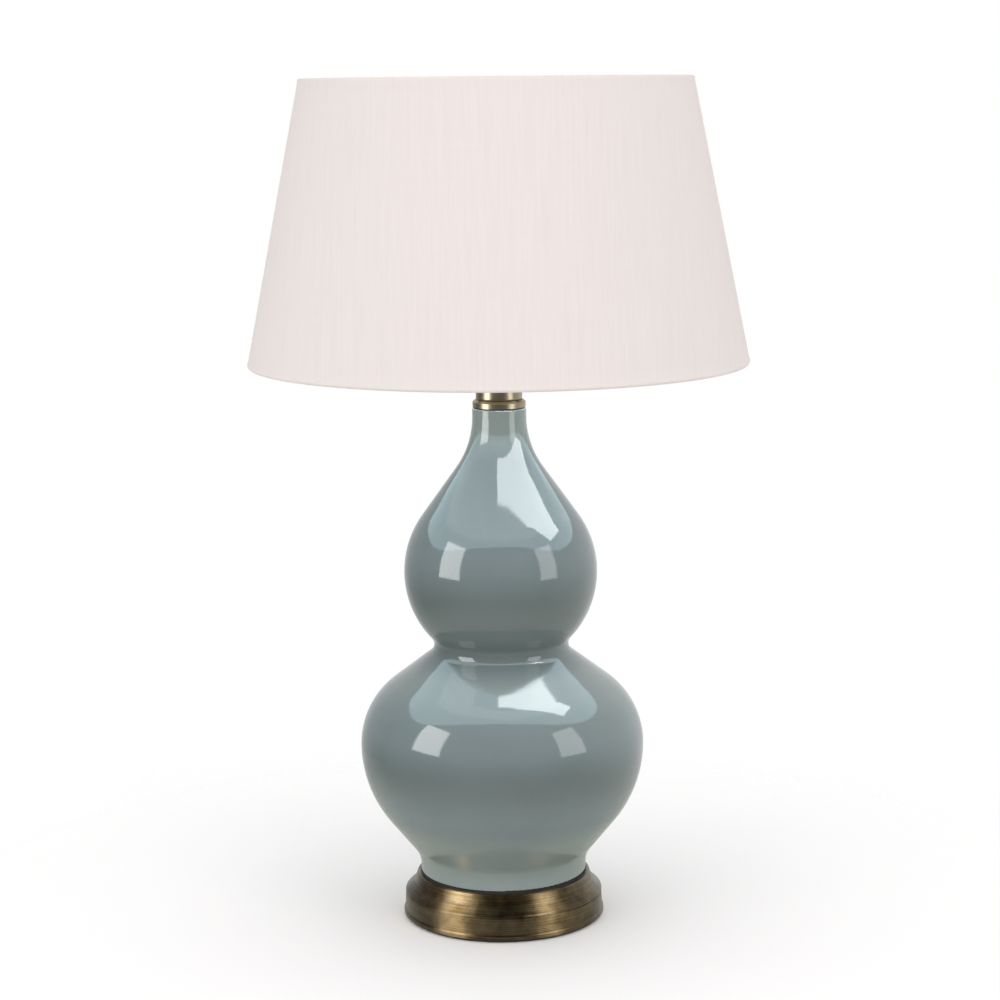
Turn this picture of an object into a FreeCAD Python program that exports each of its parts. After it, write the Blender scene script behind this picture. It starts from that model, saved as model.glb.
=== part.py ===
import FreeCAD, Part
import math
import os

from FreeCAD import Vector

# A table lamp: a double gourd of glazed ceramic on a spun brass foot, under a tapered fabric shade.
#
# Millimetres. Z is up, the lamp stands on z = 0 and its axis is the Z axis; +Y is the back.
# The lamp is stacked from the foot upwards, so each height follows from the pieces below it.
# A hollow threaded rod ties foot, gourd and lampholder together. The shade sits on a flange of the
# lampholder and is held down by a screw ring; the bulb screws into the lampholder from above.

# ---------------------------------------------------------------- driving sizes
# felt and spun brass foot
FELT_INSET = 2.1           # felt inside the bead
FELT_T = 2.5
FELT_EDGE = 0.6
FOOT_H = 33.5              # felt to the top of the brass
SPUN_T = 1.5
BAND_TOP_R = 80.6
BAND_DRAFT = 0.5           # how much wider the band is at its bottom
BAND_H = 16.9              # felt to the groove above the band
BEAD_OUT = 1.0             # rolled edge at the bottom, beyond the band
BEAD_H = 2.6
BEAD_NECK = 1.2            # height in which the bead runs out into the band
GROOVE_W = 0.9
GROOVE_DEEP = 0.7
SHOULDER_EDGE_H = 1.1      # groove to the shoulder's corner
SHOULDER_EDGE_SOFT = 2.0
SHOULDER_W = 7.6           # how far the sloping shoulder runs in
SHOULDER_H = 7.2
COVE_SOFT = 9.0
LIP_OUT = 2.8              # lip beyond the gourd's foot
LIP_SOFT = 1.2

# inside the foot
COVER_T = 1.2
COVER_GAP = 0.2
BALLAST_R = 62.0
BALLAST_T = 8.0
BALLAST_CHAMFER = 2.0

# bush in the back of the foot
FLEX_HOLE_R = 3.5
BUSH_NECK_R = 4.8
BUSH_FLANGE_R = 6.2
BUSH_FLANGE_T = 2.0
BUSH_LIFT = 11.0           # felt to the bush's centre

# rod and its fastenings
ROD_R = 5.0
ROD_BORE_R = 3.8
ROD_GAP = 0.1              # radial, in each hole that the rod passes
ROD_TAIL = 3.0             # rod below its bottom nut
ROD_TIP = 0.8              # rod above its top nut
NUT_FLATS = 16.0
NUT_T = 5.0
LOCK_NUT_T = 3.0
NUT_CHAMFER = 0.6
WASHER_R = 15.0
WASHER_T = 1.5

# gourd, from its foot to its neck; arcs that follow each other meet without a corner
GASKET_T = 2.0
GASKET_EDGE = 0.2          # gasket beyond the ceramic foot
GOURD_FOOT_R = 67.6
GOURD_FOOT_H = 5.0         # upright stretch
FOOT_SWEEP = 24.0          # radius of the hollow sweep above it
FLANK_DEG = 39.0           # slope between sweep and belly
BELLY_R = 115.1
BELLY_UNDER = 96.0         # radius of the belly's section below its widest line
BELLY_OVER = 64.3          # and above it
SHOULDER_DEG = 52.8        # direction that the shoulder faces, above level
WAIST_SOFT = 9.0           # radius of the crease between the two bulbs
BULB_SPACING = 141.8       # widest line of the belly to that of the upper bulb
UPPER_R = 78.0
NECK_DEG = 35.8            # direction that the slope above the upper bulb faces
NECK_SWEEP = 70.6
NECK_R = 21.7
NECK_H = 7.0               # upright stretch
WALL = 4.5
FLOOR = 6.0
FLOOR_HOLE_R = 7.0
GLAZE_EDGE = 1.0

# neck cap
SEAL_T = 0.8
SEAL_INSET = 0.8
CAP_R = 21.3
CAP_H = 5.8
CAP_STEP = 1.6             # height of the bevel under the lampholder
CAP_TOP_T = 2.2
CAP_LEDGE = 0.6
SPIGOT_GAP = 0.5
SPIGOT_H = 6.0
SPIGOT_T = 1.5

# lampholder: cup, porcelain, threaded barrel
HOLDER_R = 18.6
HOLDER_T = 1.2
CUP_H = 20.5
CUP_FLOOR = 2.2
CUP_CORNER = 1.5
JOINT_H = 5.0              # cup's spigot inside the barrel
JOINT_GAP = 0.1
BARREL_H = 33.0
BARREL_THREAD_R = 19.4
BARREL_LIP_T = 1.4
FLANGE_LIFT = 19.0         # cup's rim to the flange that carries the shade
FLANGE_R = 23.5
FLANGE_T = 1.6
PORCELAIN_GAP = 0.2
PORCELAIN_RIM = 0.2        # porcelain above the cup's spigot
RECESS_DEEP = 4.0
NUT_ROOM_R = 13.5          # hollow in the porcelain's underside
NUT_ROOM_GAP = 1.6         # over the lock nut
WIRE_WAY_R = 1.8
WIRE_WAY_PITCH_R = 10.5

# what carries the current
SLEEVE_R = 13.6            # inside, round the bulb's cap
SLEEVE_T = 0.5
SLEEVE_H = 22.0
CONTACT_W = 6.0
CONTACT_T = 0.6
CONTACT_RISE = 1.8
SCREW_R = 2.2
SCREW_T = 1.2
SCREW_SLOT = 0.7

# switch
BAR_R = 2.6
BAR_GAP = 0.4
BAR_LIFT = 13.0            # cup's underside to the bar's centre
BAR_TRAVEL = 6.0
BAR_REACH = 0.8            # knob to cup when pushed home
BAR_NOTCH_W = 2.4
BAR_NOTCH_DEEP = 0.5
KNOB_R = 4.2
KNOB_L = 6.0
KNOB_SOFT = 1.4
BLADE_L = 7.0
BLADE_W = 5.0
BLADE_T = 0.5
BLADE_GAP = 0.3

# shade
SHADE_BOTTOM_R = 200.0
SHADE_TOP_R = 155.0
SHADE_H = 225.0
SHADE_DROP = 11.8          # carrier's underside to the shade's bottom edge
CLOTH_T = 0.7
LINER_T = 0.5
GLUE_GAP = 0.15
RING_WIRE_R = 1.5
RING_GAP = 0.05
HEM_FOLD = 6.0             # cloth turned in behind each ring
HEM_SOFT = 1.6             # rounding of the hem's edges

# carrier of the shade
ARMS = 3
ARM_WIRE_R = 1.25
ARM_WELD = 0.3             # how far the arms are sunk in the plate's underside
ARM_SLOT = 0.3             # round each arm, where it passes through the hem
ARM_BEND_AT = 42.0         # radius at which the arms turn down
ARM_BEND_R = 60.0
PLATE_R = 30.0
PLATE_T = 1.2
PLATE_GAP = 0.4            # radial, round the barrel
SEAT_GAP = 0.1

# screw ring
RING_R = 27.0
RING_H = 5.5
RING_SCREW_GAP = 0.15
RING_EDGE = 0.8
FLUTES = 24
FLUTE_R = 1.1
FLUTE_DEEP = 0.6

# bulb
BULB_CAP_R = 13.1
CAP_SCREW_H = 18.2
CAP_SKIRT_H = 5.0
CAP_T = 0.4
TIP_R = 4.8
TIP_H = 1.6
TIP_SOFT = 0.8
INSULATOR_H = 3.4
GLASS_H = 84.0             # from inside the cap's skirt to the crown
GLASS_R = 30.0
GLASS_NECK_R = 13.6
GLASS_SWEEP = 40.0
GLASS_FLANK_DEG = 24.0
GLASS_T = 0.9
GLASS_GAP = 0.1


def unit(deg):
    """Unit vector in the section plane, at an angle above the outward direction."""
    return Vector(math.cos(math.radians(deg)), 0, math.sin(math.radians(deg)))


def at(r, z):
    """Point of the section plane."""
    return Vector(r, 0, z)


# ---------------------------------------------------------------- places that follow
LIP_R = GOURD_FOOT_R + LIP_OUT
BAND_BOTTOM_R = BAND_TOP_R + BAND_DRAFT
BEAD_R = BAND_BOTTOM_R + BEAD_OUT
FELT_R = BEAD_R - FELT_INSET
FOOT_TOP_Z = FELT_T + FOOT_H
GOURD_Z = FOOT_TOP_Z + GASKET_T
SHELL_IN_R = BAND_TOP_R - GROOVE_DEEP - SPUN_T
BALLAST_Z = FOOT_TOP_Z - SPUN_T - BALLAST_T
WASHER_Z = BALLAST_Z - WASHER_T
NUT_Z = WASHER_Z - NUT_T
ROD_Z = NUT_Z - ROD_TAIL
ROD_HOLE_R = ROD_R + ROD_GAP
BUSH_Z = FELT_T + BUSH_LIFT

# centres of the gourd's arcs: each slope touches the arcs before and after it
FLANK_N = unit(-FLANK_DEG)
SHOULDER_N = unit(SHOULDER_DEG)
NECK_N = unit(NECK_DEG)
SWEEP_C = at(GOURD_FOOT_R + FOOT_SWEEP, GOURD_Z + GOURD_FOOT_H)
BELLY_Z = SWEEP_C.z + ((SWEEP_C.x - BELLY_R + BELLY_UNDER) * FLANK_N.x - BELLY_UNDER - FOOT_SWEEP) / FLANK_N.z
UNDER_C = at(BELLY_R - BELLY_UNDER, BELLY_Z)
OVER_C = at(BELLY_R - BELLY_OVER, BELLY_Z)
UPPER_C = at(0, BELLY_Z + BULB_SPACING)
NECK_C = at(NECK_R + NECK_SWEEP,
            UPPER_C.z + (UPPER_R + NECK_SWEEP - (NECK_R + NECK_SWEEP) * NECK_N.x) / NECK_N.z)
NECK_TOP_Z = NECK_C.z + NECK_H

CAP_Z = NECK_TOP_Z + SEAL_T
CUP_Z = CAP_Z + CAP_H
CUP_IN_R = HOLDER_R - HOLDER_T
JOINT_R = CUP_IN_R - JOINT_GAP
BARREL_Z = CUP_Z + CUP_H
BARREL_TOP_Z = BARREL_Z + BARREL_H
FLANGE_Z = BARREL_Z + FLANGE_LIFT
PLATE_Z = FLANGE_Z + FLANGE_T + SEAT_GAP
RING_Z = PLATE_Z + PLATE_T + SEAT_GAP
LOCK_NUT_Z = CUP_Z + CUP_FLOOR
ROD_TOP_Z = LOCK_NUT_Z + LOCK_NUT_T + ROD_TIP
NUT_ROOM_Z = LOCK_NUT_Z + LOCK_NUT_T + NUT_ROOM_GAP
PORCELAIN_TOP_Z = BARREL_Z + JOINT_H + PORCELAIN_RIM
SLEEVE_Z = PORCELAIN_TOP_Z - RECESS_DEEP
TIP_Z = SLEEVE_Z + CONTACT_RISE + SEAT_GAP
INSULATOR_Z = TIP_Z + TIP_H
BULB_CAP_Z = INSULATOR_Z + INSULATOR_H
CAP_SCREW_TOP_Z = BULB_CAP_Z + CAP_SCREW_H
GLASS_Z = CAP_SCREW_TOP_Z + CAP_SKIRT_H / 2
BAR_Z = CUP_Z + BAR_LIFT
BAR_LEFT = -HOLDER_R - BAR_REACH - BAR_TRAVEL
BAR_RIGHT = HOLDER_R + BAR_REACH
BAR_HOLE_R = BAR_R + BAR_GAP
SHADE_Z = PLATE_Z - SHADE_DROP
SHADE_SLANT = math.hypot(SHADE_H, SHADE_BOTTOM_R - SHADE_TOP_R)
HEM_HALF = RING_WIRE_R + RING_GAP + CLOTH_T


# ---------------------------------------------------------------- tools
def line(a, b):
    return Part.makeLine(a, b)


def arc(centre, radius, start_deg, end_deg):
    """Arc in the section plane, between two directions seen from its centre."""
    points = [centre + unit(deg) * radius for deg in (start_deg, (start_deg + end_deg) / 2, end_deg)]
    return Part.Arc(*points).toShape()


def bearing(v):
    """Direction of a section-plane vector, in degrees."""
    return math.degrees(math.atan2(v.z, v.x))


def soft_corner(p, before, after, radius):
    """Arc that rounds the corner p, and the two points where it leaves the straight sides."""
    back = (before - p).normalize()
    on = (after - p).normalize()
    half = back.getAngle(on) / 2
    start = p + back * (radius / math.tan(half))
    end = p + on * (radius / math.tan(half))
    centre = p + (back + on).normalize() * (radius / math.sin(half))
    middle = centre + (p - centre).normalize() * radius
    return Part.Arc(start, middle, end).toShape(), start, end


def path(corners, closed=True):
    """Wire in the section plane through (radius, height, rounding) corners; the rounding may be left out."""
    points = [at(c[0], c[1]) for c in corners]
    edges = []
    ends = []
    for i, corner in enumerate(corners):
        if len(corner) == 2:
            ends.append((points[i], points[i]))
            continue
        bend, start, end = soft_corner(points[i], points[i - 1], points[(i + 1) % len(points)], corner[2])
        edges.append(bend)
        ends.append((start, end))
    for i in range(len(ends) if closed else len(ends) - 1):
        edges.append(line(ends[i][1], ends[(i + 1) % len(ends)][0]))
    return Part.Wire(Part.__sortEdges__(edges))


def spin(wire):
    """Solid of revolution about the lamp's axis from a closed section or a face."""
    face = wire if wire.ShapeType == "Face" else Part.Face(wire)
    solid = face.revolve(Vector(0, 0, 0), Vector(0, 0, 1), 360)
    return solid if solid.Volume > 0 else solid.reversed()


def turned(corners):
    """Turned piece from the corners of its section."""
    return spin(path(corners))


def disc(r, z, height):
    return Part.makeCylinder(r, height, Vector(0, 0, z))


def tube(outer, inner, z, height):
    return turned([(inner, z), (outer, z), (outer, z + height), (inner, z + height)])


def along_x(r, x, length, z):
    return Part.makeCylinder(r, length, Vector(x, 0, z), Vector(1, 0, 0))


def along_y(r, y, length, z):
    return Part.makeCylinder(r, length, Vector(0, y, z), Vector(0, 1, 0))


def block(x, y, z, z0):
    """Upright block centred on the axis."""
    return Part.makeBox(x, y, z, Vector(-x / 2, -y / 2, z0))


def hex_nut(z, height):
    """Chamfered hexagon nut for the rod."""
    corner = NUT_FLATS / math.sqrt(3)
    points = [Vector(0, 0, z) + Vector(math.cos(k * math.pi / 3), math.sin(k * math.pi / 3), 0) * corner
              for k in range(7)]
    prism = Part.Face(Part.makePolygon(points)).extrude(Vector(0, 0, height))
    crown = turned([(ROD_HOLE_R, z), (corner - NUT_CHAMFER, z), (corner, z + NUT_CHAMFER),
                    (corner, z + height - NUT_CHAMFER), (corner - NUT_CHAMFER, z + height),
                    (ROD_HOLE_R, z + height)])
    return prism.common(crown)


# ---------------------------------------------------------------- foot
def felt_pad():
    return turned([(0, 0), (FELT_R - FELT_EDGE, 0), (FELT_R, FELT_EDGE), (FELT_R, FELT_T), (0, FELT_T)])


def spun_shell():
    """Foot in sheet of even thickness: bead, band, groove, shoulder, cove, lip and the plate inside it."""
    bead_z = FELT_T + BEAD_H
    groove_z = FELT_T + BAND_H
    shoulder_z = groove_z + GROOVE_W + SHOULDER_EDGE_H
    outline = path([(BEAD_R, FELT_T),
                    (BEAD_R, bead_z),
                    (BAND_BOTTOM_R, bead_z + BEAD_NECK),
                    (BAND_TOP_R, groove_z),
                    (BAND_TOP_R - GROOVE_DEEP, groove_z + GROOVE_W / 2),
                    (BAND_TOP_R, groove_z + GROOVE_W),
                    (BAND_TOP_R, shoulder_z, SHOULDER_EDGE_SOFT),
                    (BAND_TOP_R - SHOULDER_W, shoulder_z + SHOULDER_H, COVE_SOFT),
                    (LIP_R, FOOT_TOP_Z, LIP_SOFT),
                    (ROD_HOLE_R, FOOT_TOP_Z)], closed=False)
    return spin(outline.makeOffset2D(SPUN_T, join=2, fill=True, openResult=True))


def brass_foot():
    hole = along_y(BUSH_NECK_R, SHELL_IN_R - BUSH_FLANGE_T, BEAD_R, BUSH_Z)
    return spun_shell().cut(hole)


def base_cover_plate():
    return disc(BEAD_R - SPUN_T - COVER_GAP, FELT_T, COVER_T)


def ballast_disc():
    top = BALLAST_Z + BALLAST_T
    rim = BALLAST_R - BALLAST_CHAMFER
    return turned([(ROD_HOLE_R, BALLAST_Z), (rim, BALLAST_Z), (BALLAST_R, BALLAST_Z + BALLAST_CHAMFER),
                   (BALLAST_R, top), (ROD_HOLE_R, top)])


def cord_grommet():
    """Bush with a flange on each side of the foot's wall."""
    outside = BAND_TOP_R + BUSH_FLANGE_T
    inside = SHELL_IN_R - BUSH_FLANGE_T
    body = along_y(BUSH_FLANGE_R, inside, outside - inside, BUSH_Z).cut(spun_shell())
    neck = along_y(BUSH_NECK_R, inside, outside - inside, BUSH_Z)
    return body.fuse(neck).cut(along_y(FLEX_HOLE_R, 0, 2 * outside, BUSH_Z)).removeSplitter()


def rod_washer():
    return tube(WASHER_R, ROD_HOLE_R, WASHER_Z, WASHER_T)


def rod_nut():
    return hex_nut(NUT_Z, NUT_T)


def threaded_rod():
    return tube(ROD_R, ROD_BORE_R, ROD_Z, ROD_TOP_Z - ROD_Z)


def foot_gasket():
    return tube(GOURD_FOOT_R + GASKET_EDGE, FLOOR_HOLE_R, FOOT_TOP_Z, GASKET_T)


# ---------------------------------------------------------------- gourd
def waist_centre():
    """Centre of the crease: it touches the shoulder's slope and the upper bulb."""
    climb = Vector(-SHOULDER_N.z, 0, SHOULDER_N.x)
    start = OVER_C + SHOULDER_N * (BELLY_OVER + WAIST_SOFT)
    gap = start - UPPER_C
    along = gap.dot(climb)
    miss = gap.dot(gap) - (UPPER_R + WAIST_SOFT) ** 2
    return start - climb * (along + math.sqrt(along * along - miss))


def gourd_section(inset):
    """Closed section of the gourd, moved inwards by inset; every arc keeps its centre."""
    waist_c = waist_centre()
    waist_deg = bearing(waist_c - UPPER_C)
    sweep_r = FOOT_SWEEP + inset
    under_r = BELLY_UNDER - inset
    over_r = BELLY_OVER - inset
    waist_r = WAIST_SOFT + inset
    upper_r = UPPER_R - inset
    neck_r = NECK_SWEEP + inset
    foot = GOURD_FOOT_R - inset
    top = NECK_R - inset
    edges = [line(at(0, GOURD_Z), at(foot, GOURD_Z)),
             line(at(foot, GOURD_Z), at(foot, SWEEP_C.z)),
             arc(SWEEP_C, sweep_r, 180, 180 - FLANK_DEG),
             line(SWEEP_C - FLANK_N * sweep_r, UNDER_C + FLANK_N * under_r),
             arc(UNDER_C, under_r, -FLANK_DEG, 0),
             arc(OVER_C, over_r, 0, SHOULDER_DEG),
             line(OVER_C + SHOULDER_N * over_r, waist_c - SHOULDER_N * waist_r),
             arc(waist_c, waist_r, 180 + SHOULDER_DEG, 180 + waist_deg),
             arc(UPPER_C, upper_r, waist_deg, NECK_DEG),
             line(UPPER_C + NECK_N * upper_r, NECK_C - NECK_N * neck_r),
             arc(NECK_C, neck_r, 180 + NECK_DEG, 180),
             line(at(top, NECK_C.z), at(top, NECK_TOP_Z)),
             line(at(top, NECK_TOP_Z), at(0, NECK_TOP_Z)),
             line(at(0, NECK_TOP_Z), at(0, GOURD_Z))]
    return Part.Wire(Part.__sortEdges__(edges))


def gourd_body():
    """Cast ceramic shell with a floor; neck and foot have a softened edge."""
    solid = spin(gourd_section(0))
    rims = [e for e in solid.Edges if e.BoundBox.ZLength < 1e-6
            and (e.BoundBox.ZMin > NECK_TOP_Z - 1e-3 or e.BoundBox.ZMax < GOURD_Z + 1e-3)]
    solid = solid.makeFillet(GLAZE_EDGE, rims)
    floor = disc(GOURD_FOOT_R, GOURD_Z, FLOOR)
    hollow = spin(gourd_section(WALL)).cut(floor)
    return solid.cut(hollow).cut(disc(FLOOR_HOLE_R, GOURD_Z, FLOOR))


# ---------------------------------------------------------------- neck cap
def neck_seal():
    return tube(NECK_R - SEAL_INSET, NECK_R - WALL, NECK_TOP_Z, SEAL_T)


def neck_cap():
    """Cap with a bevelled top; its spigot centres it in the neck."""
    spigot = NECK_R - WALL - SPIGOT_GAP
    under = CUP_Z - CAP_TOP_T
    return turned([(ROD_HOLE_R, CUP_Z), (HOLDER_R + CAP_LEDGE, CUP_Z), (CAP_R, CUP_Z - CAP_STEP, CAP_LEDGE),
                   (CAP_R, CAP_Z), (spigot, CAP_Z), (spigot, CAP_Z - SPIGOT_H),
                   (spigot - SPIGOT_T, CAP_Z - SPIGOT_H), (spigot - SPIGOT_T, under), (ROD_HOLE_R, under)])


# ---------------------------------------------------------------- lampholder
def holder_cup():
    """Cup with a spigot for the barrel and a hole on each side for the switch bar."""
    shoulder = CUP_Z + CUP_H
    spigot_in = JOINT_R - HOLDER_T
    body = turned([(ROD_HOLE_R, CUP_Z), (HOLDER_R, CUP_Z, CUP_CORNER), (HOLDER_R, shoulder),
                   (JOINT_R, shoulder), (JOINT_R, shoulder + JOINT_H), (spigot_in, shoulder + JOINT_H),
                   (spigot_in, LOCK_NUT_Z), (ROD_HOLE_R, LOCK_NUT_Z)])
    return body.cut(along_x(BAR_HOLE_R, -2 * HOLDER_R, 4 * HOLDER_R, BAR_Z))


def holder_lock_nut():
    return hex_nut(LOCK_NUT_Z, LOCK_NUT_T)


def holder_porcelain():
    """Insulator on the cup's floor, hollow over the nut and recessed for the screw sleeve."""
    outside = JOINT_R - HOLDER_T - PORCELAIN_GAP
    recess = SLEEVE_R + SLEEVE_T + PORCELAIN_GAP
    body = turned([(0, NUT_ROOM_Z), (NUT_ROOM_R, NUT_ROOM_Z), (NUT_ROOM_R, LOCK_NUT_Z), (outside, LOCK_NUT_Z),
                   (outside, PORCELAIN_TOP_Z), (recess, PORCELAIN_TOP_Z), (recess, SLEEVE_Z), (0, SLEEVE_Z)])
    body = body.cut(along_x(BAR_HOLE_R, -HOLDER_R, 2 * HOLDER_R, BAR_Z))
    for side in (-1, 1):
        way = Part.makeCylinder(WIRE_WAY_R, PORCELAIN_TOP_Z, Vector(0, side * WIRE_WAY_PITCH_R, 0))
        body = body.cut(way)
    return body.cut(block(BLADE_L + 2 * BLADE_GAP, BLADE_W + 2 * BLADE_GAP, BAR_Z - NUT_ROOM_Z, NUT_ROOM_Z))


def terminal_screws():
    """Slotted terminal screws in the roof of the porcelain's hollow."""
    screws = []
    for side in (-1, 1):
        place = Vector(side * WIRE_WAY_PITCH_R, 0, NUT_ROOM_Z - SCREW_T)
        slot_corner = place - Vector(2 * SCREW_R, SCREW_SLOT / 2, 0)
        slot = Part.makeBox(4 * SCREW_R, SCREW_SLOT, SCREW_T / 2, slot_corner)
        screws.append(Part.makeCylinder(SCREW_R, SCREW_T, place).cut(slot))
    return Part.makeCompound(screws)


def switch_blade():
    """Springy strip on a foot, just under the switch bar."""
    top = BAR_Z - BAR_R - BLADE_GAP
    strip = block(BLADE_L, BLADE_W, BLADE_T, top - BLADE_T)
    leg = block(BLADE_T, BLADE_W, top - NUT_ROOM_Z, NUT_ROOM_Z)
    return strip.fuse(leg.translated(Vector((BLADE_T - BLADE_L) / 2, 0, 0))).removeSplitter()


def switch_bar():
    """Bar through the cup, with a notch for each of its two places."""
    bar = along_x(BAR_R, BAR_LEFT, BAR_RIGHT - BAR_LEFT, BAR_Z)
    for x in (0, -BAR_TRAVEL):
        core = along_x(BAR_R - BAR_NOTCH_DEEP, x - BAR_NOTCH_W / 2, BAR_NOTCH_W, BAR_Z)
        notch = along_x(2 * BAR_R, x - BAR_NOTCH_W / 2, BAR_NOTCH_W, BAR_Z).cut(core)
        bar = bar.cut(notch)
    return bar


def switch_knobs():
    """Knobs on the ends of the bar, domed outwards."""
    knobs = []
    for x, rim_x in ((BAR_LEFT - KNOB_L, BAR_LEFT - KNOB_L), (BAR_RIGHT, BAR_RIGHT + KNOB_L)):
        knob = along_x(KNOB_R, x, KNOB_L, BAR_Z)
        rim = [e for e in knob.Edges if e.BoundBox.XLength < 1e-6 and abs(e.BoundBox.XMin - rim_x) < 1e-3]
        knobs.append(knob.makeFillet(KNOB_SOFT, rim))
    return Part.makeCompound(knobs)


def screw_sleeve():
    """Sleeve that takes the bulb's cap; its floor is open round the centre contact."""
    outside = SLEEVE_R + SLEEVE_T
    opening = CONTACT_W
    top = SLEEVE_Z + SLEEVE_H
    floor = SLEEVE_Z + SLEEVE_T
    return turned([(SLEEVE_R, floor), (SLEEVE_R, top), (outside, top), (outside, SLEEVE_Z),
                   (opening, SLEEVE_Z), (opening, floor)])


def centre_contact():
    """Folded strip under the bulb's tip."""
    top = TIP_Z - SEAT_GAP
    foot = block(CONTACT_W, CONTACT_W, CONTACT_T, SLEEVE_Z)
    tongue = block(CONTACT_W, CONTACT_W, CONTACT_T, top - CONTACT_T)
    fold = block(CONTACT_T, CONTACT_W, top - SLEEVE_Z, SLEEVE_Z)
    return foot.fuse([tongue, fold.translated(Vector((CONTACT_T - CONTACT_W) / 2, 0, 0))]).removeSplitter()


def holder_barrel():
    """Barrel on the cup, with the flange that carries the shade and a threaded stretch above it."""
    mouth = SLEEVE_R + SLEEVE_T + BAR_GAP
    ceiling = BARREL_TOP_Z - BARREL_LIP_T
    flange_top = FLANGE_Z + FLANGE_T
    return turned([(HOLDER_R, BARREL_Z), (HOLDER_R, FLANGE_Z), (FLANGE_R, FLANGE_Z), (FLANGE_R, flange_top),
                   (BARREL_THREAD_R, flange_top), (BARREL_THREAD_R, ceiling), (HOLDER_R, BARREL_TOP_Z),
                   (mouth, BARREL_TOP_Z), (mouth, ceiling), (CUP_IN_R, ceiling), (CUP_IN_R, BARREL_Z)])


# ---------------------------------------------------------------- shade
def on_shade(along, deep):
    """Point of the shade's section: so far up the slope, so deep behind the outer face."""
    foot = at(SHADE_BOTTOM_R, SHADE_Z)
    up = (at(SHADE_TOP_R, SHADE_Z + SHADE_H) - foot).normalize()
    return foot + up * along + Vector(-up.z, 0, up.x) * deep


def ring_centre(top):
    return on_shade(SHADE_SLANT - HEM_HALF if top else HEM_HALF, HEM_HALF)


def shade_fabric():
    """Cloth cover, folded in over both wire rings and slotted where the carrier's arms pass."""
    inside = 2 * HEM_HALF
    edge = SHADE_SLANT
    places = [(0, 0, HEM_SOFT), (edge, 0, HEM_SOFT), (edge, inside, HEM_SOFT), (edge - HEM_FOLD, inside),
              (edge - HEM_FOLD, inside - CLOTH_T), (edge - CLOTH_T, inside - CLOTH_T),
              (edge - CLOTH_T, CLOTH_T), (CLOTH_T, CLOTH_T), (CLOTH_T, inside - CLOTH_T),
              (HEM_FOLD, inside - CLOTH_T), (HEM_FOLD, inside), (0, inside, HEM_SOFT)]
    corners = []
    for along, deep, *soft in places:
        point = on_shade(along, deep)
        corners.append((point.x, point.z, *soft))
    cover = turned(corners)
    for k in range(ARMS):
        cover = cover.cut(carrier_arm(k, ARM_WIRE_R + ARM_SLOT))
    return cover


def shade_liner():
    """Stiff white sheet that the cloth is glued to, between the two hems."""
    near = CLOTH_T + GLUE_GAP
    far = near + LINER_T
    low = 2 * HEM_HALF
    high = SHADE_SLANT - low
    corners = [on_shade(low, near), on_shade(high, near), on_shade(high, far), on_shade(low, far)]
    return turned([(p.x, p.z) for p in corners])


def wire_ring(top):
    centre = ring_centre(top)
    return Part.makeTorus(centre.x, RING_WIRE_R, Vector(0, 0, centre.z))


def shade_bottom_ring():
    return wire_ring(False)


def shade_top_ring():
    return wire_ring(True)


def carrier_arm(k, radius):
    """Wire from under the carrier's plate to the centre of the bottom ring; it bends once, downwards."""
    level = PLATE_Z + ARM_WELD - ARM_WIRE_R
    start = at(PLATE_R - 2 * ARM_WIRE_R, level)
    knee = at(ARM_BEND_AT, level)
    bend, leave, meet = soft_corner(knee, start, ring_centre(False), ARM_BEND_R)
    spine = Part.Wire([line(start, leave), bend, line(meet, ring_centre(False))])
    section = Part.Wire(Part.makeCircle(radius, start, Vector(1, 0, 0)))
    arm = spine.makePipeShell([section], True, False)
    return arm.rotated(Vector(0, 0, 0), Vector(0, 0, 1), 90 + 360 / ARMS * k)


def shade_carrier():
    """Plate round the lampholder and its wire arms, welded up."""
    plate = tube(PLATE_R, BARREL_THREAD_R + PLATE_GAP, PLATE_Z, PLATE_T)
    arms = [carrier_arm(k, ARM_WIRE_R) for k in range(ARMS)]
    return plate.fuse(arms).cut(shade_bottom_ring()).removeSplitter()


def shade_screw_ring():
    """Fluted ring that screws down on the carrier's plate."""
    bore = BARREL_THREAD_R + RING_SCREW_GAP
    top = RING_Z + RING_H
    ring = turned([(bore, RING_Z), (RING_R, RING_Z), (RING_R, top - RING_EDGE), (RING_R - RING_EDGE, top),
                   (bore, top)])
    for k in range(FLUTES):
        out = unit(0) * (RING_R + FLUTE_R - FLUTE_DEEP) + Vector(0, 0, RING_Z)
        flute = Part.makeCylinder(FLUTE_R, RING_H, out)
        ring = ring.cut(flute.rotated(Vector(0, 0, 0), Vector(0, 0, 1), 360 / FLUTES * k))
    return ring


# ---------------------------------------------------------------- bulb
def bulb_tip():
    return turned([(0, TIP_Z), (TIP_R, TIP_Z, TIP_SOFT), (TIP_R, INSULATOR_Z), (0, INSULATOR_Z)])


def bulb_insulator():
    rim = BULB_CAP_R - CAP_T
    return turned([(0, INSULATOR_Z), (TIP_R, INSULATOR_Z), (rim, BULB_CAP_Z), (0, BULB_CAP_Z)])


def bulb_cap():
    """Thin cap: the screw's outside as a plain wall, and above it a skirt round the glass."""
    skirt_in = GLASS_NECK_R + GLASS_GAP
    skirt = skirt_in + CAP_T
    inside = BULB_CAP_R - CAP_T
    top = CAP_SCREW_TOP_Z + CAP_SKIRT_H
    return turned([(BULB_CAP_R, BULB_CAP_Z), (BULB_CAP_R, CAP_SCREW_TOP_Z), (skirt, GLASS_Z), (skirt, top),
                   (skirt_in, top), (skirt_in, GLASS_Z), (inside, CAP_SCREW_TOP_Z), (inside, BULB_CAP_Z)])


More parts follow.
